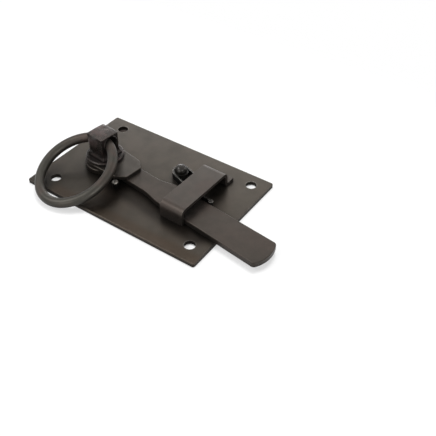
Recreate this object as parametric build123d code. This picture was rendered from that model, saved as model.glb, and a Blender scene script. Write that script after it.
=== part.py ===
# A cottage door latch on its back plate, in millimetres.
# X runs along the plate towards the nose of the bar, Y up the door and Z out of the door.
# The origin is the middle of the plate's back face, and the ring hangs towards -Y.
# The bar is drawn as it rests, dropped against the near leg of its keeper.
from build123d import *
import math
import os

# Back plate
PLATE_LENGTH = 152.0
PLATE_WIDTH = 100.0
PLATE_THICK = 3.0
PLATE_CORNER_R = 1.6
PLATE_EDGE_R = 0.6

# Screw holes, set in from the four edges of the plate
SCREW_HOLE_R = 4.1
SCREW_INSET_LEFT = 15.8
SCREW_INSET_RIGHT = 12.7
SCREW_INSET_NEAR = 13.2
SCREW_INSET_FAR = 11.0

# Pivot of the bar, from the left edge and the middle of the plate
PIVOT_INSET = 34.7
PIVOT_RISE = -2.2

# Running clearances and the fits of fixed pieces
TURN_PLAY = 0.05
END_PLAY = 0.1
SQUARE_FIT = 0.05
RIVET_FIT = 0.02
TENON_FIT = 0.05

# Spacer washer between plate and bar, and the washer peened on behind the plate
SPACER_R = 14.0
SPACER_THICK = 0.5
RETAINER_R = 10.7
RETAINER_THICK = 1.0
RETAINER_BORE_R = 6.4
RECESS_MARGIN = 0.3
BACK_SET = 0.2

# Latch bar, measured from the pivot along the bar
BAR_THICK = 4.0
BAR_EYE_R = 15.5
BAR_OFFSET = 0.8
BAR_ROOT_HALF = 8.0
BAR_FLARE_START = 46.3
BAR_FLARE_END = 66.3
BAR_FAR_HALF = 12.1
BAR_NEAR_HALF = 10.7
BAR_NOSE_HALF = 12.4
BAR_SHOULDER = 152.5
BAR_LENGTH = 156.0
BAR_NOSE_R = 3.0
BAR_EYE_BLEND_R = 8.0
BAR_EDGE_R = 0.5
BAR_DROOP = 6.4

# Driver plate on the root of the bar
DRIVER_THICK = 2.8
DRIVER_REACH = 31.0
DRIVER_TIP_HALF = 7.0
DRIVER_EAR_X = 24.0
DRIVER_EAR_HALF = 12.5
DRIVER_CORNER_R = 0.8
DRIVER_EDGE_R = 0.5

# Handle boss: round journal, square shank, collar and square head
JOURNAL_R = 7.4
SHANK_SIDE = 15.0
COLLAR_R = 14.3
COLLAR_THICK = 2.6
COLLAR_EDGE_R = 1.2
HEAD_SIDE = 16.4
HEAD_WAIST = 16.0
HEAD_FOOT = 20.4
HEAD_FOOT_SLOPE = 31.0
HEAD_WAIST_RISE = 6.5
HEAD_FLAT_RISE = 10.5
HEAD_RISE = 19.0
HEAD_CORNER_R = 0.7
HEAD_TOP_R = 0.8
SOCKET_SIDE = 7.6
SOCKET_DEPTH = 11.8

# Ring handle through the cross hole of the head
RING_ROD_R = 3.6
RING_END_R = 22.7
RING_SIDE_R = 31.9
RING_END_SPAN = 74.0
RING_HOLE_RISE = 11.7
RING_HOLE_PLAY = 0.55
RING_HOLE_OVERRUN = 0.5
RING_SAG = 0.3
RING_HANG = 19.7
RING_SKEW = 2.2

# Keeper strap over the bar
KEEPER_INSET = 37.0
KEEPER_SKEW = 1.3
KEEPER_WIDTH = 19.2
KEEPER_THICK = 2.4
KEEPER_SPAN = 49.0
KEEPER_HEIGHT = 12.5
KEEPER_BEND_R = 2.3
KEEPER_FOOT = 7.5
KEEPER_EDGE_R = 0.3
TENON_WIDTH = 13.0
REST_GAP = 0.1

# Keeper rivet, countersunk in the foot and behind the plate
RIVET_R = 2.0
RIVET_HEAD_R = 3.6
RIVET_SINK = 1.2

# Spring stud: hub inside the bend of the spring, with a ball on top
STUD_X = 56.6
STUD_Y = 19.7
STUD_HUB_RISE = 5.0
STUD_BALL_R = 4.6
STUD_BALL_RISE = 6.0
STUD_SHANK_R = 2.5
STUD_TAIL_R = 3.6
STUD_SINK = 1.1

# Hairpin spring of flat strip on edge
STRIP_THICK = 1.0
STRIP_HEIGHT = 5.6
STRIP_BEND_R = 6.0
STRIP_NEAR_SLOPE = 23.0
STRIP_FAR_SLOPE = 19.0
EYE_REACH = 93.4
EYE_R = 1.2
EYE_WRAP = 290.0
EYE_GAP = 0.05
FAR_LEG_STRAIGHT = 9.0
FAR_LEG_END = 3.0

# Stop pin below the near ear of the driver
PIN_X = 24.6
PIN_Y = -17.3
PIN_R = 2.5
PIN_RISE = 6.0
PIN_DOME_R = 2.0
PIN_SHANK_R = 1.6
PIN_TAIL_R = 2.5
PIN_SINK = 0.9

# Places and heights that follow from the sizes above
PLATE_LEFT = -PLATE_LENGTH / 2
PLATE_RIGHT = PLATE_LENGTH / 2
PLATE_NEAR = -PLATE_WIDTH / 2
PLATE_FAR = PLATE_WIDTH / 2
PIVOT_X = PLATE_LEFT + PIVOT_INSET
SPACER_TOP = PLATE_THICK + SPACER_THICK
BAR_BOTTOM = SPACER_TOP + END_PLAY
BAR_TOP = BAR_BOTTOM + BAR_THICK
DRIVER_TOP = BAR_TOP + DRIVER_THICK
COLLAR_TOP = DRIVER_TOP + COLLAR_THICK
RETAINER_TOP = BACK_SET + RETAINER_THICK
RING_HINGE_Z = COLLAR_TOP + RING_HOLE_RISE
STUD_HUB_R = STRIP_BEND_R - STRIP_THICK / 2
PLATE_BORE_R = JOURNAL_R + TURN_PLAY

# Frames of the pieces: the pivot, the resting bar and its blade, the hinge of the ring,
# the keeper, the stud and the pin
PIVOT = Pos(PIVOT_X, PIVOT_RISE, 0)
BAR_PLACE = PIVOT * Rot(0, 0, -BAR_DROOP)
BLADE_PLACE = BAR_PLACE * Pos(0, BAR_OFFSET, 0)
HINGE_PLACE = BAR_PLACE * Pos(0, 0, RING_HINGE_Z) * Rot(0, 0, RING_SKEW)
KEEPER_PLACE = Pos(PLATE_RIGHT - KEEPER_INSET, PIVOT_RISE, 0) * Rot(0, 0, -KEEPER_SKEW)
STUD_PLACE = PIVOT * Pos(STUD_X, STUD_Y, 0)
PIN_PLACE = PIVOT * Pos(PIN_X, PIN_Y, 0)


def seen_from(frame, point):
    """Gives the plan position of a located point in another frame."""
    place = (frame.inverse() * point).position
    return place.X, place.Y


def near_leg_face():
    """Gives the Y of the near leg's inner face, where the resting bar just clears its corner."""
    corner = KEEPER_WIDTH / 2
    x0, y0 = seen_from(KEEPER_PLACE, BLADE_PLACE * Pos(BAR_FLARE_END, -BAR_NEAR_HALF, 0))
    x1, y1 = seen_from(KEEPER_PLACE, BLADE_PLACE * Pos(BAR_SHOULDER, -BAR_NOSE_HALF, 0))
    edge = y0 + (y1 - y0) * (corner - x0) / (x1 - x0)
    return edge - REST_GAP


KEEPER_NEAR = near_leg_face()
KEEPER_FAR = KEEPER_NEAR + KEEPER_SPAN
RIVET_PLACE = KEEPER_PLACE * Pos(0, KEEPER_FAR + KEEPER_FOOT / 2 + KEEPER_THICK, 0)


def turned(*profile):
    """Turns a closed outline of (radius, height) points about Z."""
    with BuildPart() as part:
        with BuildSketch(Plane.XZ):
            with BuildLine():
                for start, end in zip(profile, profile[1:] + profile[:1]):
                    Line(start, end)
            make_face()
        revolve(axis=Axis.Z)
    return part.part


def upper_edges(part, height):
    """Picks the edges of a part that lie in the level plane at a height."""
    return part.edges().filter_by_position(Axis.Z, height, height)


def rivet_hole(shank_r, tail_r, sink):
    """Gives the hole through the plate for a shank that is peened into a countersink behind."""
    return turned(
        (0, 0),
        (tail_r + RIVET_FIT, 0),
        (shank_r + RIVET_FIT, sink),
        (shank_r + RIVET_FIT, PLATE_THICK),
        (0, PLATE_THICK),
    )


def screw_places():
    """Gives the four screw holes, a rectangle inset from the edges of the plate."""
    xs = (PLATE_LEFT + SCREW_INSET_LEFT, PLATE_RIGHT - SCREW_INSET_RIGHT)
    ys = (PLATE_NEAR + SCREW_INSET_NEAR, PLATE_FAR - SCREW_INSET_FAR)
    return [Pos(x, y, 0) for x in xs for y in ys]


def back_plate():
    """Sheared plate with soft edges, the pivot bore and the seats of what is riveted to it."""
    blank = extrude(RectangleRounded(PLATE_LENGTH, PLATE_WIDTH, PLATE_CORNER_R), PLATE_THICK)
    blank = fillet(upper_edges(blank, PLATE_THICK), PLATE_EDGE_R)
    screw = extrude(Circle(SCREW_HOLE_R), PLATE_THICK)
    bore = extrude(Circle(PLATE_BORE_R), PLATE_THICK)
    recess = extrude(Circle(RETAINER_R + RECESS_MARGIN), RETAINER_TOP + END_PLAY)
    slot = extrude(
        Rectangle(TENON_WIDTH + 2 * TENON_FIT, KEEPER_THICK + 2 * TENON_FIT), PLATE_THICK
    )
    blank -= [place * screw for place in screw_places()]
    blank -= PIVOT * (bore + recess)
    blank -= KEEPER_PLACE * Pos(0, KEEPER_NEAR - KEEPER_THICK / 2, 0) * slot
    blank -= RIVET_PLACE * rivet_hole(RIVET_R, RIVET_HEAD_R, RIVET_SINK)
    blank -= STUD_PLACE * rivet_hole(STUD_SHANK_R, STUD_TAIL_R, STUD_SINK)
    blank -= PIN_PLACE * rivet_hole(PIN_SHANK_R, PIN_TAIL_R, PIN_SINK)
    return blank


def keeper_bridge():
    """Strap bent over the bar, tenoned into the plate at one leg and footed at the other."""
    half = KEEPER_THICK / 2
    top = PLATE_THICK + KEEPER_HEIGHT - half
    foot = PLATE_THICK + half
    bend = KEEPER_BEND_R + half
    with BuildPart() as strap:
        with BuildSketch(Plane.YZ):
            with BuildLine() as run:
                FilletPolyline(
                    (KEEPER_NEAR - half, PLATE_THICK),
                    (KEEPER_NEAR - half, top),
                    (KEEPER_FAR + half, top),
                    (KEEPER_FAR + half, foot),
                    (KEEPER_FAR + KEEPER_THICK + KEEPER_FOOT, foot),
                    radius=[bend, bend, half + KEEPER_EDGE_R],
                )
            trace(run.line, KEEPER_THICK)
        extrude(amount=KEEPER_WIDTH / 2, both=True)
    tenon = extrude(Rectangle(TENON_WIDTH, KEEPER_THICK), PLATE_THICK - BACK_SET)
    seat = turned(
        (0, PLATE_THICK),
        (RIVET_R, PLATE_THICK),
        (RIVET_R, PLATE_THICK + KEEPER_THICK - RIVET_SINK),
        (RIVET_HEAD_R, PLATE_THICK + KEEPER_THICK),
        (0, PLATE_THICK + KEEPER_THICK),
    )
    bridge = strap.part + Pos(0, KEEPER_NEAR - half, BACK_SET) * tenon
    return KEEPER_PLACE * bridge - RIVET_PLACE * seat


def keeper_rivet():
    """Rivet that is flush in the keeper's foot and behind the plate."""
    top = PLATE_THICK + KEEPER_THICK
    return RIVET_PLACE * turned(
        (0, 0),
        (RIVET_HEAD_R, 0),
        (RIVET_R, RIVET_SINK),
        (RIVET_R, top - RIVET_SINK),
        (RIVET_HEAD_R, top),
        (0, top),
    )


def spacer_washer():
    """Thin washer that carries the bar clear of the plate."""
    washer = Circle(SPACER_R) - Circle(PLATE_BORE_R)
    return PIVOT * Pos(0, 0, PLATE_THICK) * extrude(washer, SPACER_THICK)


def retaining_washer():
    """Washer peened on the end of the boss, sunk in the back of the plate."""
    washer = Circle(RETAINER_R) - Circle(RETAINER_BORE_R)
    return PIVOT * Pos(0, 0, BACK_SET) * extrude(washer, RETAINER_THICK)


def square_hole(height):
    """Square hole of the bar and the driver for the shank of the boss."""
    side = SHANK_SIDE + 2 * SQUARE_FIT
    return extrude(Rectangle(side, side), height)


def blade_outline():
    """Outline of the blade: a narrow root, an S-shaped flare and a nose with rounded corners."""
    slope = (BAR_SHOULDER - BAR_FLARE_END, BAR_NEAR_HALF - BAR_NOSE_HALF)
    with BuildSketch() as blade:
        with BuildLine():
            Line((0, BAR_ROOT_HALF), (BAR_FLARE_START, BAR_ROOT_HALF))
            Spline(
                (BAR_FLARE_START, BAR_ROOT_HALF),
                (BAR_FLARE_END, BAR_FAR_HALF),
                tangents=[(1, 0), (1, 0)],
            )
            Line((BAR_FLARE_END, BAR_FAR_HALF), (BAR_SHOULDER, BAR_FAR_HALF))
            ThreePointArc(
                (BAR_SHOULDER, BAR_FAR_HALF),
                (BAR_LENGTH, 0),
                (BAR_SHOULDER, -BAR_NOSE_HALF),
            )
            Line((BAR_SHOULDER, -BAR_NOSE_HALF), (BAR_FLARE_END, -BAR_NEAR_HALF))
            Spline(
                (BAR_FLARE_START, -BAR_ROOT_HALF),
                (BAR_FLARE_END, -BAR_NEAR_HALF),
                tangents=[(1, 0), slope],
            )
            Line((BAR_FLARE_START, -BAR_ROOT_HALF), (0, -BAR_ROOT_HALF))
            Line((0, -BAR_ROOT_HALF), (0, BAR_ROOT_HALF))
        make_face()
        fillet(blade.vertices().group_by(Axis.X)[-1], BAR_NOSE_R)
    return blade.sketch


def latch_bar():
    """Flat bar: a blade that runs out of a round eye with a square hole."""
    outline = Pos(0, BAR_OFFSET) * blade_outline() + Circle(BAR_EYE_R)
    neck = outline.vertices().filter_by_position(Axis.X, 0, BAR_EYE_R)
    outline = fillet(neck, BAR_EYE_BLEND_R)
    blank = extrude(outline, BAR_THICK)
    blank = fillet(upper_edges(blank, BAR_THICK), BAR_EDGE_R)
    blank -= square_hole(BAR_THICK)
    return BAR_PLACE * Pos(0, 0, BAR_BOTTOM) * blank


def driver_plate():
    """Eared plate that clamps the root of the bar under the collar of the boss."""
    with BuildPart() as driver:
        with BuildSketch():
            with BuildLine():
                CenterArc((0, 0), COLLAR_R, 0, 360)
                Polyline(
                    (DRIVER_EAR_X, DRIVER_EAR_HALF),
                    (DRIVER_REACH, DRIVER_TIP_HALF),
                    (DRIVER_REACH, -DRIVER_TIP_HALF),
                    (DRIVER_EAR_X, -DRIVER_EAR_HALF),
                )
            outline = make_hull()
            tip = outline.vertices().filter_by_position(Axis.X, DRIVER_EAR_X, DRIVER_REACH)
            fillet(tip, DRIVER_CORNER_R)
        extrude(amount=DRIVER_THICK)
    plate = fillet(upper_edges(driver.part, DRIVER_THICK), DRIVER_EDGE_R)
    plate -= square_hole(DRIVER_THICK)
    return BAR_PLACE * Pos(0, 0, BAR_TOP) * plate


def boss_head():
    """Square head, waisted above a flared foot, as the overlap of two equal side profiles."""
    foot_slope = math.radians(HEAD_FOOT_SLOPE)
    with BuildSketch(Plane.XZ) as side:
        with BuildLine():
            Spline(
                (HEAD_FOOT / 2, 0),
                (HEAD_WAIST / 2, HEAD_WAIST_RISE),
                (HEAD_SIDE / 2, HEAD_FLAT_RISE),
                tangents=[(-math.cos(foot_slope), math.sin(foot_slope)), (0, 1), (0, 1)],
            )
            Line((HEAD_SIDE / 2, HEAD_FLAT_RISE), (HEAD_SIDE / 2, HEAD_RISE))
            Line((HEAD_SIDE / 2, HEAD_RISE), (0, HEAD_RISE))
            mirror(about=Plane.YZ)
            Line((-HEAD_FOOT / 2, 0), (HEAD_FOOT / 2, 0))
        make_face()
    slab = extrude(side.sketch, HEAD_FOOT, both=True)
    head = slab & Rot(0, 0, 90) * slab
    middles = [(e, e.center()) for e in head.edges()]
    corners = [e for e, c in middles if min(abs(c.X), abs(c.Y)) > HEAD_CORNER_R]
    head = fillet(corners, HEAD_CORNER_R)
    return fillet(upper_edges(head, HEAD_RISE), HEAD_TOP_R)


def ring_hole():
    """Cross hole that opens to both mouths, so that the curved rod can swing in it."""
    reach = HEAD_SIDE / 2 + RING_HOLE_OVERRUN
    inner = RING_END_R - RING_ROD_R
    throat = RING_ROD_R + RING_HOLE_PLAY
    mouth = throat + inner - math.sqrt(inner**2 - reach**2)
    with BuildPart() as hole:
        with BuildSketch(Plane.XZ):
            with BuildLine():
                ThreePointArc((-reach, mouth), (0, throat), (reach, mouth))
                Polyline((reach, mouth), (reach, 0), (-reach, 0), (-reach, mouth))
            make_face()
        revolve(axis=Axis.X)
    return hole.part


def handle_boss():
    """Boss that joins bar and ring: journal, shank, collar, head, cross hole and spindle socket."""
    stem = turned(
        (0, BACK_SET),
        (RETAINER_BORE_R, BACK_SET),
        (RETAINER_BORE_R, RETAINER_TOP),
        (JOURNAL_R, RETAINER_TOP),
        (JOURNAL_R, BAR_BOTTOM),
        (0, BAR_BOTTOM),
    )
    shank = extrude(Rectangle(SHANK_SIDE, SHANK_SIDE), DRIVER_TOP - BAR_BOTTOM)
    collar = extrude(Circle(COLLAR_R), COLLAR_THICK)
    collar = fillet(upper_edges(collar, COLLAR_THICK), COLLAR_EDGE_R)
    socket = extrude(Rectangle(SOCKET_SIDE, SOCKET_SIDE), SOCKET_DEPTH)
    boss = BAR_PLACE * (
        stem
        + Pos(0, 0, BAR_BOTTOM) * shank
        + Pos(0, 0, DRIVER_TOP) * collar
        - Pos(0, 0, BACK_SET) * socket
    )
    boss += BAR_PLACE * Pos(0, 0, COLLAR_TOP) * boss_head()
    return boss - HINGE_PLACE * ring_hole()


def ring_handle():
    """Slightly oval ring of round rod, closed through the boss, that hangs over the plate's edge."""
    side_span = 180 - RING_END_SPAN
    with BuildLine() as oval:
        top = JernArc((0, 0), (1, 0), RING_END_R, -RING_END_SPAN / 2)
        right = JernArc(top @ 1, top % 1, RING_SIDE_R, -side_span)
        foot = JernArc(right @ 1, right % 1, RING_END_R, -RING_END_SPAN)
        left = JernArc(foot @ 1, foot % 1, RING_SIDE_R, -side_span)
        JernArc(left @ 1, left % 1, RING_END_R, -RING_END_SPAN / 2)
    ring = sweep(Plane.YZ * Circle(RING_ROD_R), path=oval.wire())
    return HINGE_PLACE * Pos(0, -RING_SAG, 0) * Rot(RING_HANG, 0, 0) * ring


def bar_spring():
    """Hairpin strip: an eye on the bar, a bend round the stud and a leg against the keeper."""
    near_out = math.radians(STRIP_NEAR_SLOPE)
    far_out = math.radians(STRIP_FAR_SLOPE)
    near_start = (-STRIP_BEND_R * math.sin(near_out), -STRIP_BEND_R * math.cos(near_out))
    far_start = (STRIP_BEND_R * math.sin(far_out), STRIP_BEND_R * math.cos(far_out))
    eye_offset = BAR_FAR_HALF + EYE_R + STRIP_THICK / 2 + EYE_GAP
    eye_x, eye_y = seen_from(STUD_PLACE, BLADE_PLACE * Pos(EYE_REACH, eye_offset, 0))
    eye_top = (eye_x, eye_y + EYE_R)
    end_x, end_y = seen_from(
        STUD_PLACE,
        KEEPER_PLACE * Pos(FAR_LEG_END, KEEPER_FAR - STRIP_THICK / 2, 0),
    )
    knee = (
        far_start[0] + FAR_LEG_STRAIGHT * math.cos(far_out),
        far_start[1] - FAR_LEG_STRAIGHT * math.sin(far_out),
    )
    with BuildLine() as run:
        JernArc(eye_top, (1, 0), EYE_R, -EYE_WRAP)
        Spline(
            near_start,
            eye_top,
            tangents=[(math.cos(near_out), -math.sin(near_out)), (1, 0)],
        )
        bend_end = 270 - STRIP_NEAR_SLOPE
        CenterArc((0, 0), STRIP_BEND_R, 90 - STRIP_FAR_SLOPE, bend_end - 90 + STRIP_FAR_SLOPE)
        Line(far_start, knee)
        Spline(
            knee,
            (end_x, end_y),
            tangents=[(math.cos(far_out), -math.sin(far_out)), (1, 0)],
        )
    strip = trace(run.line, STRIP_THICK)
    return STUD_PLACE * Pos(0, 0, PLATE_THICK) * extrude(strip, STRIP_HEIGHT)


def spring_stud():
    """Riveted stud: a hub that fills the bend of the spring, with a ball on top."""
    ball_z = PLATE_THICK + STUD_BALL_RISE
    hub_top = PLATE_THICK + STUD_HUB_RISE
    body = turned(
        (0, 0),
        (STUD_TAIL_R, 0),
        (STUD_SHANK_R, STUD_SINK),
        (STUD_SHANK_R, PLATE_THICK),
        (STUD_HUB_R, PLATE_THICK),
        (STUD_HUB_R, hub_top),
        (0, hub_top),
    )
    ball = Pos(0, 0, ball_z) * Sphere(STUD_BALL_R)
    ball = split(ball, Plane.XY.offset(hub_top), keep=Keep.TOP)
    return STUD_PLACE * (body + ball)


def stop_pin():
    """Domed pin, riveted in the plate."""
    pin = turned(
        (0, 0),
        (PIN_TAIL_R, 0),
        (PIN_SHANK_R, PIN_SINK),
        (PIN_SHANK_R, PLATE_THICK),
        (PIN_R, PLATE_THICK),
        (PIN_R, PLATE_THICK + PIN_RISE),
        (0, PLATE_THICK + PIN_RISE),
    )
    return PIN_PLACE * fillet(upper_edges(pin, PLATE_THICK + PIN_RISE), PIN_DOME_R)


NODES = {
    "back_plate": back_plate,
    "keeper_bridge": keeper_bridge,
    "keeper_rivet": keeper_rivet,
    "spacer_washer": spacer_washer,
    "retaining_washer": retaining_washer,
    "latch_bar": latch_bar,
    "driver_plate": driver_plate,
    "handle_boss": handle_boss,
    "ring_handle": ring_handle,
    "bar_spring": bar_spring,
    "spring_stud": spring_stud,
    "stop_pin": stop_pin,
}

os.makedirs("parts", exist_ok=True)
for name, make in NODES.items():
    export_step(make(), f"parts/{name}.step")
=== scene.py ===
# Cottage door latch in dark waxed steel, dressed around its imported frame
import math

import bmesh
import bpy
from mathutils import Matrix, Vector, noise


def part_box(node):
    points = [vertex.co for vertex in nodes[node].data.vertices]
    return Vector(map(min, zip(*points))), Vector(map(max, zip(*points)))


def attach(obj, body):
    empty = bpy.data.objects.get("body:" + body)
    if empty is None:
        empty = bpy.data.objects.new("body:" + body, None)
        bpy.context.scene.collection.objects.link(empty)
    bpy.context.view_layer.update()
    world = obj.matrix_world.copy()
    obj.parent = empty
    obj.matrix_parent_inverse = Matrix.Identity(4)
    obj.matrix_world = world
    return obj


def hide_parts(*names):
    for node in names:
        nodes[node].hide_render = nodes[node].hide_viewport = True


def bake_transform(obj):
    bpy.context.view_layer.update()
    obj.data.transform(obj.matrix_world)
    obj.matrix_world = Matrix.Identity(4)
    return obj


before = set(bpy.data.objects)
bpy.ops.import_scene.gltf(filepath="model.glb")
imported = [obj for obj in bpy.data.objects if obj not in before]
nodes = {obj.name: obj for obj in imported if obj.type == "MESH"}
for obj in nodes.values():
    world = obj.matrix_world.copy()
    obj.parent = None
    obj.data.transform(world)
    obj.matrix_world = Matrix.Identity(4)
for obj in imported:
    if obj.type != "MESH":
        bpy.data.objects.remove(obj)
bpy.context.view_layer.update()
mm = 0.001
white = (1, 1, 1, 1)


def middleAndTop(node):
    low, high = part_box(node)
    return (low + high) / 2, high.z


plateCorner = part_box("back_plate")[1]
bossMiddle, bossTop = middleAndTop("handle_boss")
pinMiddle, pinTop = middleAndTop("stop_pin")
studMiddle = middleAndTop("spring_stud")[0]


# Shader helpers

def addNode(tree, kind, **settings):
    node = tree.nodes.new(kind)
    for key, value in settings.items():
        setattr(node, key, value)
    return node


def feed(tree, socket, value):
    # a socket takes either a link or a plain value
    if isinstance(value, bpy.types.NodeSocket):
        tree.links.new(value, socket)
    else:
        socket.default_value = value


def mathOf(tree, operation, first, second):
    sums = addNode(tree, "ShaderNodeMath", operation=operation)
    feed(tree, sums.inputs[0], first)
    feed(tree, sums.inputs[1], second)
    return sums.outputs[0]


def vectorOf(tree, operation, first, second):
    sums = addNode(tree, "ShaderNodeVectorMath", operation=operation)
    feed(tree, sums.inputs[0], first)
    feed(tree, sums.inputs[1], second)
    return sums.outputs["Value" if operation in ("DOT_PRODUCT", "DISTANCE") else "Vector"]


def noiseOf(tree, place, scale, detail=3.0, roughness=0.55):
    cloud = addNode(tree, "ShaderNodeTexNoise")
    feed(tree, cloud.inputs["Vector"], place)
    feed(tree, cloud.inputs["Scale"], scale)
    feed(tree, cloud.inputs["Detail"], detail)
    feed(tree, cloud.inputs["Roughness"], roughness)
    return cloud.outputs["Fac"]


def rampOf(tree, value, low, high, start=0.0, end=1.0, curve="SMOOTHSTEP"):
    ramp = addNode(tree, "ShaderNodeMapRange", interpolation_type=curve)
    feed(tree, ramp.inputs["Value"], value)
    feed(tree, ramp.inputs["From Min"], low)
    feed(tree, ramp.inputs["From Max"], high)
    feed(tree, ramp.inputs["To Min"], start)
    feed(tree, ramp.inputs["To Max"], end)
    return ramp.outputs["Result"]


def mixOf(tree, fac, first, second, blend="MIX"):
    mix = addNode(tree, "ShaderNodeMix", data_type="RGBA", blend_type=blend)
    feed(tree, mix.inputs["Factor"], fac)
    feed(tree, mix.inputs[6], first)
    feed(tree, mix.inputs[7], second)
    return mix.outputs[2]


def objectPlace(tree):
    return addNode(tree, "ShaderNodeTexCoord").outputs["Object"]


# One group gives every piece its waxed, lightly hammered and hand-worn skin

skinInputs = {
    # what a piece has where its own look says nothing else
    "Blotch Scale": 40.0, "Tint Amount": 0.4,
    "Wear Width": 0.4 * mm, "Wear Amount": 0.5, "Edge Rough": 0.0,
    "Hammer Scale": 90.0, "Hammer Depth": 0.05 * mm,
    "Grain Scale": 1100.0, "Grain Depth": 0.005 * mm,
    "Rough Low": 0.29, "Rough High": 0.41,
    # how far the painted corner shade reaches, and how dark it is
    "Crevice Reach": 12 * mm, "Painted Crevice Shade": 0.65,
}
skinRamps = {
    "streakScale": 3.7, "streakShare": 0.3,  # finer streaks within the blotches
    "tint": (0.42, 0.66), "streak": (0.3, 0.7, 0.93, 1.07),
    "edge": (0.035, 0.22), "broken": (0.25, 0.6, 0.35, 1.0),  # where wear begins, and its gaps
    "corner": (0.35, 1.0), "rough": (0.35, 0.7), "dull": (0.3, 1.0, 0.35, 0.0),  # the painted corner shade also comes with a rougher surface
}


def makeWaxedSteel():
    tree = bpy.data.node_groups.new("waxedSteel", "ShaderNodeTree")
    for name in ("Base", "Tint", "Bare"):
        tree.interface.new_socket(name, in_out="INPUT", socket_type="NodeSocketColor")
    for name, value in skinInputs.items():
        made = tree.interface.new_socket(name, in_out="INPUT", socket_type="NodeSocketFloat")
        made.default_value = value
    for name, kind in (("Color", "Color"), ("Roughness", "Float"), ("Normal", "Vector")):
        tree.interface.new_socket(name, in_out="OUTPUT", socket_type="NodeSocket" + kind)
    given = addNode(tree, "NodeGroupInput").outputs
    result = addNode(tree, "NodeGroupOutput").inputs
    place = objectPlace(tree)

    # two colours in blotches, with lighter and darker streaks
    blotch = noiseOf(tree, place, given["Blotch Scale"], detail=4.0)
    streakScale = mathOf(tree, "MULTIPLY", given["Blotch Scale"], skinRamps["streakScale"])
    streak = noiseOf(tree, place, streakScale)
    blotchPart = mathOf(tree, "MULTIPLY", blotch, 1 - skinRamps["streakShare"])
    streakPart = mathOf(tree, "MULTIPLY", streak, skinRamps["streakShare"])
    cloud = mathOf(tree, "ADD", blotchPart, streakPart)
    tinted = mathOf(tree, "MULTIPLY", rampOf(tree, cloud, *skinRamps["tint"]), given["Tint Amount"])
    skin = mixOf(tree, tinted, given["Base"], given["Tint"])
    skin = mixOf(tree, 1.0, skin, rampOf(tree, streak, *skinRamps["streak"]), "MULTIPLY")

    # worn edges: where a rounded normal leaves the true one
    rounded = addNode(tree, "ShaderNodeBevel", samples=4)
    feed(tree, rounded.inputs["Radius"], given["Wear Width"])
    flat = addNode(tree, "ShaderNodeNewGeometry").outputs["Normal"]
    agree = vectorOf(tree, "DOT_PRODUCT", rounded.outputs["Normal"], flat)
    edge = rampOf(tree, mathOf(tree, "SUBTRACT", 1.0, agree), *skinRamps["edge"])
    broken = mathOf(tree, "MULTIPLY", edge, rampOf(tree, streak, *skinRamps["broken"]))
    worn = mathOf(tree, "MULTIPLY", broken, given["Wear Amount"])
    skin = mixOf(tree, worn, skin, given["Bare"])

    # painted shade: colour is darkened in corners and near other surfaces, by ambient occlusion
    corner = addNode(tree, "ShaderNodeAmbientOcclusion", samples=8)
    feed(tree, corner.inputs["Distance"], given["Crevice Reach"])
    exposed = rampOf(tree, corner.outputs["AO"], *skinRamps["corner"])
    paintedCornerShade = mathOf(tree, "MULTIPLY", mathOf(tree, "SUBTRACT", 1.0, exposed), given["Painted Crevice Shade"])
    outsideCornerShade = mathOf(tree, "SUBTRACT", 1.0, paintedCornerShade)
    feed(tree, result["Color"], mixOf(tree, 1.0, skin, outsideCornerShade, "MULTIPLY"))

    rough = rampOf(tree, cloud, *skinRamps["rough"], given["Rough Low"], given["Rough High"])
    dull = rampOf(tree, outsideCornerShade, *skinRamps["dull"])
    dull = mathOf(tree, "ADD", dull, mathOf(tree, "MULTIPLY", edge, given["Edge Rough"]))
    feed(tree, result["Roughness"], mathOf(tree, "ADD", rough, dull))

    # hammer marks and grain
    hammer = noiseOf(tree, place, given["Hammer Scale"], detail=1.5)
    grain = noiseOf(tree, place, given["Grain Scale"], detail=2.0, roughness=0.7)
    hammerPart = mathOf(tree, "MULTIPLY", hammer, given["Hammer Depth"])
    grainPart = mathOf(tree, "MULTIPLY", grain, given["Grain Depth"])
    bump = addNode(tree, "ShaderNodeBump")
    feed(tree, bump.inputs["Strength"], 1.0)
    feed(tree, bump.inputs["Distance"], 1.0)
    feed(tree, bump.inputs["Height"], mathOf(tree, "ADD", hammerPart, grainPart))
    feed(tree, result["Normal"], bump.outputs["Normal"])
    return tree


waxedSteel = makeWaxedSteel()


def shadeAndStainOver(tree, colour, shadeOrStain):
    # a soft darkening around a line, laid over a colour: painted shade, and on the plate also its brown
    # edge stain
    run = shadeOrStain["to"] - shadeOrStain["from"]
    offset = vectorOf(tree, "SUBTRACT", objectPlace(tree), shadeOrStain["from"])
    along = vectorOf(tree, "DOT_PRODUCT", offset, run / run.length_squared)
    share = rampOf(tree, along, 0.0, 1.0, curve="LINEAR")
    apart = vectorOf(tree, "DISTANCE", offset, vectorOf(tree, "MULTIPLY", run, share))
    clear = rampOf(tree, apart, shadeOrStain["full"], shadeOrStain["clear"])
    return mixOf(tree, 1.0, colour, mixOf(tree, clear, shadeOrStain["tone"], white), "MULTIPLY")


def makeFinish(name, look, shadesAndStains=()):
    material = bpy.data.materials.new(name)
    material.use_nodes = True
    tree = material.node_tree
    shader = tree.nodes["Principled BSDF"]
    skin = addNode(tree, "ShaderNodeGroup", node_tree=waxedSteel)
    for key, value in look["skin"].items():
        skin.inputs[key].default_value = value
    colour = skin.outputs["Color"]
    for shadeOrStain in shadesAndStains:
        colour = shadeAndStainOver(tree, colour, shadeOrStain)
    feed(tree, shader.inputs["Base Color"], colour)
    feed(tree, shader.inputs["Roughness"], skin.outputs["Roughness"])
    feed(tree, shader.inputs["Normal"], skin.outputs["Normal"])
    shader.inputs["Metallic"].default_value = look["metallic"]
    return material


def dress(name, material):
    piece = nodes[name]
    piece.data.materials.clear()
    piece.data.materials.append(material)


# Back plate, with painted shadows below the bar and in front of the stop pin, and a brown stain along its
# near edge

def onPlate(x, y):
    # a place on the plate's top, in mm from its middle
    return Vector((x * mm, y * mm, plateCorner.z))


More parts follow.
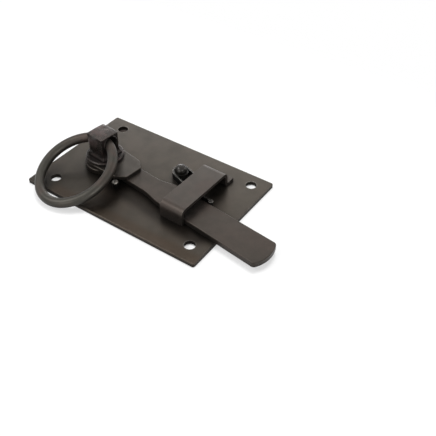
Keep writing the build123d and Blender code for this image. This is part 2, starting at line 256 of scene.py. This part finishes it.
paintedBarShadow = {  # painted shadow below the bar
    "from": onPlate(-40, -14), "to": onPlate(62, -27), "full": 4 * mm, "clear": 13 * mm,
    "tone": (0.34, 0.32, 0.31, 1),
}
paintedPinFootShadow = {  # painted shadow in front of the stop pin
    "from": onPlate(-16, -22), "to": onPlate(-12, -34), "full": 2 * mm, "clear": 12 * mm,
    "tone": (0.54, 0.46, 0.42, 1),
}
edgeStain = {  # brown along the near edge
    "from": onPlate(-50, -46), "to": onPlate(74, -46), "full": 1 * mm, "clear": 8 * mm,
    "tone": (0.95, 0.84, 0.76, 1),
}
plateLook = {
    "metallic": 0.9,
    "skin": {
        "Base": (0.050, 0.043, 0.035, 1), "Tint": (0.054, 0.040, 0.031, 1),
        # lighter bare edges all round: worn steel, and also a painted edge highlight
        "Bare": (0.252, 0.239, 0.218, 1),
        "Blotch Scale": 28.0, "Tint Amount": 0.3, "Wear Width": 1.2 * mm, "Wear Amount": 0.7,
        "Hammer Scale": 70.0, "Hammer Depth": 0.08 * mm, "Grain Depth": 0.004 * mm,
    },
}
dress("back_plate", makeFinish("plateSteel", plateLook, (paintedBarShadow, paintedPinFootShadow, edgeStain)))


# Keeper's strap

strapLook = {
    "metallic": 0.9,
    "skin": {
        "Base": (0.053, 0.046, 0.040, 1), "Tint": (0.060, 0.045, 0.039, 1),
        # lighter bare edges: worn steel, and also a painted edge highlight
        "Bare": (0.168, 0.160, 0.143, 1),
        "Tint Amount": 0.5, "Rough Low": 0.38, "Rough High": 0.5,
    },
}
dress("keeper_bridge", makeFinish("strapSteel", strapLook))


# Latch bar and the driver plate over its root

barLook = {
    "metallic": 0.9,
    "skin": {
        "Base": (0.047, 0.040, 0.034, 1), "Tint": (0.052, 0.038, 0.032, 1),
        "Bare": (0.025, 0.022, 0.019, 1),
        "Blotch Scale": 32.0, "Wear Width": 0.6 * mm, "Wear Amount": 0.6, "Edge Rough": 0.5,
    },
}
driverLook = {
    "metallic": 0.9,
    "skin": {
        "Base": (0.057, 0.050, 0.043, 1), "Tint": (0.052, 0.040, 0.034, 1),
        "Bare": (0.042, 0.037, 0.032, 1),
        "Blotch Scale": 45.0, "Edge Rough": 0.5, "Crevice Reach": 6 * mm, "Painted Crevice Shade": 0.5,
    },
}
dress("latch_bar", makeFinish("barSteel", barLook))
dress("driver_plate", makeFinish("driverSteel", driverLook))


# Ring handle

ringLook = {
    "metallic": 0.7,
    "skin": {
        "Base": (0.045, 0.042, 0.035, 1), "Tint": (0.058, 0.037, 0.031, 1),
        "Bare": (0.168, 0.160, 0.143, 1),
        "Blotch Scale": 42.0, "Tint Amount": 0.7, "Wear Width": 0.6 * mm, "Wear Amount": 0.3,
        "Hammer Scale": 130.0, "Hammer Depth": 0.12 * mm, "Grain Scale": 1200.0, "Grain Depth": 0.006 * mm,
        "Rough Low": 0.36, "Rough High": 0.50,
    },
}
dress("ring_handle", makeFinish("ringSteel", ringLook))


# Stop pin: bright metal, its side darkened below the dome by painted shade

paintedPinSideShade = {  # painted shade around its side
    "from": Vector((pinMiddle.x, pinMiddle.y, 0)),
    "to": Vector((pinMiddle.x, pinMiddle.y, pinTop - 3.2 * mm)),
    "full": 2.6 * mm, "clear": 3.1 * mm, "tone": (0.12, 0.12, 0.12, 1),
}
pinLook = {
    "metallic": 0.9,
    "skin": {
        "Base": (0.286, 0.269, 0.244, 1), "Tint": (0.042, 0.034, 0.029, 1),
        "Bare": (0.084, 0.080, 0.076, 1),
        "Blotch Scale": 420.0, "Tint Amount": 0.9, "Wear Amount": 0.3,
        "Hammer Scale": 200.0, "Hammer Depth": 0.02 * mm, "Grain Scale": 1500.0, "Grain Depth": 0.003 * mm,
        "Rough Low": 0.15, "Rough High": 0.28, "Painted Crevice Shade": 0.9,
    },
}
dress("stop_pin", makeFinish("pinSteel", pinLook, (paintedPinSideShade,)))


# Stud, rivet and washers

studLook = {
    "metallic": 0.5,
    "skin": {
        "Base": (0.020, 0.018, 0.015, 1), "Tint": (0.019, 0.014, 0.011, 1),
        "Bare": (0.084, 0.080, 0.076, 1),
        "Blotch Scale": 120.0, "Wear Amount": 0.3,
        "Hammer Scale": 200.0, "Hammer Depth": 0.02 * mm, "Grain Scale": 1500.0, "Grain Depth": 0.003 * mm,
        "Rough Low": 0.2, "Rough High": 0.3,
    },
}
studSteel = makeFinish("studSteel", studLook)
for name in ("keeper_rivet", "spacer_washer", "retaining_washer", "spring_stud"):
    dress(name, studSteel)
print("finishes on the solid pieces")


# Pieces that are shaped further from a merged copy of their node

mergeWithin = 0.002 * mm
cutWithin = 0.0001 * mm


def copyOf(node):
    shape = bmesh.new()
    shape.from_mesh(nodes[node].data)
    bmesh.ops.remove_doubles(shape, verts=shape.verts, dist=mergeWithin)
    return shape


def cutAcross(shape, parts, place, across):
    bmesh.ops.bisect_plane(shape, geom=parts, dist=cutWithin, plane_co=place, plane_no=across)


def makePiece(name, shape, material):
    mesh = bpy.data.meshes.new(name)
    shape.to_mesh(mesh)
    shape.free()
    mesh.materials.append(material)
    piece = bpy.data.objects.new(name, mesh)
    bpy.context.scene.collection.objects.link(piece)
    return piece


# Hairpin spring: the strip keeps its form, with cuts across its near leg

springLook = {
    "metallic": 0.8,
    "skin": {
        "Base": (0.013, 0.012, 0.011, 1), "Tint": (0.024, 0.016, 0.013, 1),
        "Bare": (0.420, 0.403, 0.370, 1),
        "Blotch Scale": 90.0, "Wear Width": 0.6 * mm, "Wear Amount": 0.9,
        "Hammer Scale": 160.0, "Hammer Depth": 0.02 * mm, "Grain Scale": 1500.0, "Grain Depth": 0.004 * mm,
        "Rough Low": 0.3, "Rough High": 0.45,
    },
}
springBend = {
    "across": Vector((0.45, -0.9, 0.0)).normalized(),  # from the bend towards the bar
    "holdTo": 5 * mm, "followFrom": 17 * mm,  # where it leaves the plate's motion, and takes the bar's
    "cutFrom": 3 * mm, "cutTo": 24 * mm, "cuts": 22,
}


def makeSpring():
    shape = copyOf("bar_spring")
    across = springBend["across"]
    spacing = (springBend["cutTo"] - springBend["cutFrom"]) / (springBend["cuts"] - 1)
    for step in range(springBend["cuts"]):
        place = studMiddle + across * (springBend["cutFrom"] + spacing * step)
        cutAcross(shape, shape.verts[:] + shape.edges[:] + shape.faces[:], place, across)
    spring = makePiece("hairpin_spring", shape, makeFinish("springSteel", springLook))
    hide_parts("bar_spring")
    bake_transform(spring)


makeSpring()
print("hairpin spring ready")


# Forged head: the boss keeps its form, with hammer facets sunk into the head's outer faces and top

paintedCollarShade = {  # painted shade around the collar, below the head
    "from": Vector((bossMiddle.x, bossMiddle.y, 0)), "to": Vector((bossMiddle.x, bossMiddle.y, 8 * mm)),
    "full": 13 * mm, "clear": 18 * mm, "tone": (0.42, 0.39, 0.38, 1),
}
bossLook = {
    "metallic": 0.72,
    "skin": {
        "Base": (0.048, 0.042, 0.038, 1), "Tint": (0.060, 0.032, 0.029, 1),
        "Bare": (0.202, 0.185, 0.168, 1),
        "Blotch Scale": 70.0, "Tint Amount": 0.8, "Wear Width": 0.7 * mm, "Wear Amount": 0.55,
        "Hammer Scale": 160.0, "Hammer Depth": 0.25 * mm, "Grain Scale": 1300.0, "Grain Depth": 0.006 * mm,
        "Rough Low": 0.20, "Rough High": 0.36,
    },
}
forging = {
    "from": 13.2 * mm, "fadeOver": 2.5 * mm,  # just above the collar, and how soon the facets set in
    "cutReach": 10.5 * mm, "cutStep": 1.5 * mm,  # cuts on both sides of the middle, and up the head
    "depth": 0.55 * mm, "topShare": 0.35,  # the top is dressed flatter than the sides
    "facetScale": 170.0, "fineScale": 420.0, "fineShare": 0.25,
    "dome": 0.35 * mm, "domeReach": 11 * mm,  # how far the top falls, that far from its middle
    "sideFrom": 5 * mm, "sideFacing": 0.4, "topBand": 1 * mm, "topFacing": 0.5,  # which points are outside
    "crease": 0.6,  # radians, above which an edge stays sharp
}


def cutHead(shape, place, across):
    upper = [face for face in shape.faces if face.calc_center_median().z > forging["from"]]
    parts = set(upper)
    for face in upper:
        parts.update(face.edges)
        parts.update(face.verts)
    cutAcross(shape, list(parts), place, across)


def cutHeadEvenly(shape):
    step = forging["cutStep"]
    count = int(forging["cutReach"] / step)
    for index in range(-count, count + 1):
        for across in (Vector((1, 0, 0)), Vector((0, 1, 0))):
            cutHead(shape, bossMiddle + across * step * index, across)
    height = forging["from"] + step
    while height < bossTop - step / 2:
        cutHead(shape, Vector((0, 0, height)), Vector((0, 0, 1)))
        height += step


def forgedMove(vert):
    # inward along the normal, and on the top also down towards its corners
    side = Vector((vert.co.x - bossMiddle.x, vert.co.y - bossMiddle.y, 0))
    facing = vert.normal.dot(side.normalized())
    onSide = side.length > forging["sideFrom"] and facing > forging["sideFacing"]
    onTop = vert.co.z > bossTop - forging["topBand"] and vert.normal.z > forging["topFacing"]
    if vert.co.z <= forging["from"] or not (onSide or onTop):
        return Vector()
    coarse = noise.noise(vert.co * forging["facetScale"])
    fine = noise.noise(vert.co * forging["fineScale"])
    facets = coarse * (1 - forging["fineShare"]) + fine * forging["fineShare"]
    fade = min(1.0, (vert.co.z - forging["from"]) / forging["fadeOver"])
    sunk = (facets + 1) / 2 * fade * forging["depth"]
    if not onTop:
        return vert.normal * -sunk
    drop = forging["dome"] * (side.length / forging["domeReach"]) ** 2
    return vert.normal * -sunk * forging["topShare"] - Vector((0, 0, drop))


def makeForgedBoss():
    shape = copyOf("handle_boss")
    cutHeadEvenly(shape)
    shape.normal_update()
    for vert in shape.verts:
        vert.co += forgedMove(vert)
    bmesh.ops.triangulate(shape, faces=shape.faces)
    for face in shape.faces:
        face.smooth = True
    for edge in shape.edges:
        edge.smooth = edge.is_manifold and edge.calc_face_angle() < forging["crease"]
    boss = makePiece("forged_boss", shape, makeFinish("bossSteel", bossLook, (paintedCollarShade,)))
    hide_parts("handle_boss")
    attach(boss, "bar")
    print("forged boss with", len(boss.data.polygons), "triangles")


makeForgedBoss()


# Floor, world, lamps and camera

stage = {
    "floorSize": 6.0, "floorDrop": -0.2 * mm, "floorColour": (0.9, 0.9, 0.9, 1),
    "floorOwnLight": 0.55,  # share of the floor around the plate that stays white in shadow
    "holeOwnLight": 0.1, "holeBand": (0.9, 0.98),  # and under the plate, in half plates from its middle
    "whiteBand": (2.5, 5.0),  # further out, in half plates, the floor turns plain white
    # painted shadow on the floor below the hole behind the boss
    "shadedHole": Vector((-60.2, 39.0, 0.0)) * mm, "shadedReach": (6 * mm, 12 * mm),
    "shadedColour": (0.06, 0.05, 0.045, 1),
    "skyLight": 0.18,  # the world's strength as soft light on dull surfaces
}
lamps = {
    "farLeft": {"turn": 129, "rise": 14, "power": 2.94},
    "far": {"turn": 108, "rise": 30, "power": 1.29},
    "farRight": {"turn": 50, "rise": 24, "power": 1.26},
    "back": {"turn": 135, "rise": 62, "power": 0.84},
    "left": {"turn": 190, "rise": 52, "power": 0.48},
    "nearLeft": {"turn": 225, "rise": 50, "power": 4.08},
    "near": {"turn": 270, "rise": 24, "power": 2.1},
    "right": {"turn": 342, "rise": 20, "power": 2.76},
    "top": {"turn": 100, "rise": 78, "power": 9.0, "size": 0.4, "inSteel": False},  # not mirrored
}
lampReach = 1.15  # metres from the latch
lampSize = 0.5
view = {  # solved from the plate's corners and holes
    "at": Vector((248.1, -274.8, 305.2)) * mm, "turn": 34.29, "down": 42.71, "roll": 0.5, "lens": 53.0,
}


def spin(degrees, axis):
    return Matrix.Rotation(math.radians(degrees), 4, axis)


def whiteRays(tree):
    # white shows to the camera, in reflections and through glass
    rays = addNode(tree, "ShaderNodeLightPath").outputs
    shown = mathOf(tree, "MAXIMUM", rays["Is Camera Ray"], rays["Is Glossy Ray"])
    return mathOf(tree, "MAXIMUM", shown, rays["Is Transmission Ray"])


def makePaper():
    material = bpy.data.materials.new("floorPaper")
    material.use_nodes = True
    tree = material.node_tree
    tree.nodes.remove(tree.nodes["Principled BSDF"])
    place = objectPlace(tree)

    # how far out a place is, in half plates
    spot = addNode(tree, "ShaderNodeSeparateXYZ")
    feed(tree, spot.inputs[0], place)
    across = mathOf(tree, "DIVIDE", mathOf(tree, "ABSOLUTE", spot.outputs["X"], 0.0), plateCorner.x)
    along = mathOf(tree, "DIVIDE", mathOf(tree, "ABSOLUTE", spot.outputs["Y"], 0.0), plateCorner.y)
    outward = mathOf(tree, "MAXIMUM", across, along)
    around = rampOf(tree, outward, *stage["holeBand"], stage["holeOwnLight"], stage["floorOwnLight"])
    around = mathOf(tree, "MAXIMUM", around, rampOf(tree, outward, *stage["whiteBand"]))

    # painted shadow: below the hole behind the boss the floor is darkened and loses its own light
    fromHole = vectorOf(tree, "DISTANCE", place, stage["shadedHole"])
    clear = rampOf(tree, fromHole, *stage["shadedReach"])
    paper = addNode(tree, "ShaderNodeBsdfDiffuse")
    feed(tree, paper.inputs["Color"], mixOf(tree, clear, stage["shadedColour"], stage["floorColour"]))
    glow = addNode(tree, "ShaderNodeEmission")
    share = mathOf(tree, "MULTIPLY", whiteRays(tree), mathOf(tree, "MULTIPLY", around, clear))
    both = addNode(tree, "ShaderNodeMixShader")
    feed(tree, both.inputs[0], share)
    feed(tree, both.inputs[1], paper.outputs[0])
    feed(tree, both.inputs[2], glow.outputs[0])
    feed(tree, tree.nodes["Material Output"].inputs["Surface"], both.outputs[0])
    return material


def makeFloor():
    shape = bmesh.new()
    bmesh.ops.create_grid(shape, x_segments=1, y_segments=1, size=stage["floorSize"] / 2)
    bmesh.ops.translate(shape, verts=shape.verts, vec=(0, 0, stage["floorDrop"]))
    makePiece("floor", shape, makePaper())


def makeSky():
    world = bpy.data.worlds.new("studio")
    bpy.context.scene.world = world
    world.use_nodes = True
    tree = world.node_tree
    sky = tree.nodes["Background"]
    feed(tree, sky.inputs["Color"], white)
    feed(tree, sky.inputs["Strength"], rampOf(tree, whiteRays(tree), 0.0, 1.0, stage["skyLight"], 1.0))


def makeLamp(name, lamp):
    light = bpy.data.lights.new(name, "AREA")
    light.size = lamp.get("size", lampSize)
    light.energy = lamp["power"]
    made = bpy.data.objects.new(name, light)
    made.visible_glossy = lamp.get("inSteel", True)
    outward = spin(lamp["turn"], "Z") @ spin(-lamp["rise"], "Y") @ Matrix.Translation((lampReach, 0, 0))
    made.matrix_world = outward @ spin(90, "Y")  # faces the latch
    bpy.context.scene.collection.objects.link(made)


def makeCamera():
    data = bpy.data.cameras.new("camera")
    data.lens = view["lens"]
    data.clip_start = 10 * mm
    camera = bpy.data.objects.new("camera", data)
    aim = spin(view["turn"], "Z") @ spin(90 - view["down"], "X") @ spin(view["roll"], "Z")
    camera.matrix_world = Matrix.Translation(view["at"]) @ aim
    bpy.context.scene.collection.objects.link(camera)
    bpy.context.scene.camera = camera


makeFloor()
makeSky()
for name, lamp in lamps.items():
    makeLamp(name, lamp)
makeCamera()
bpy.context.scene.view_settings.view_transform = "Standard"
print("stage, lamps and camera ready")
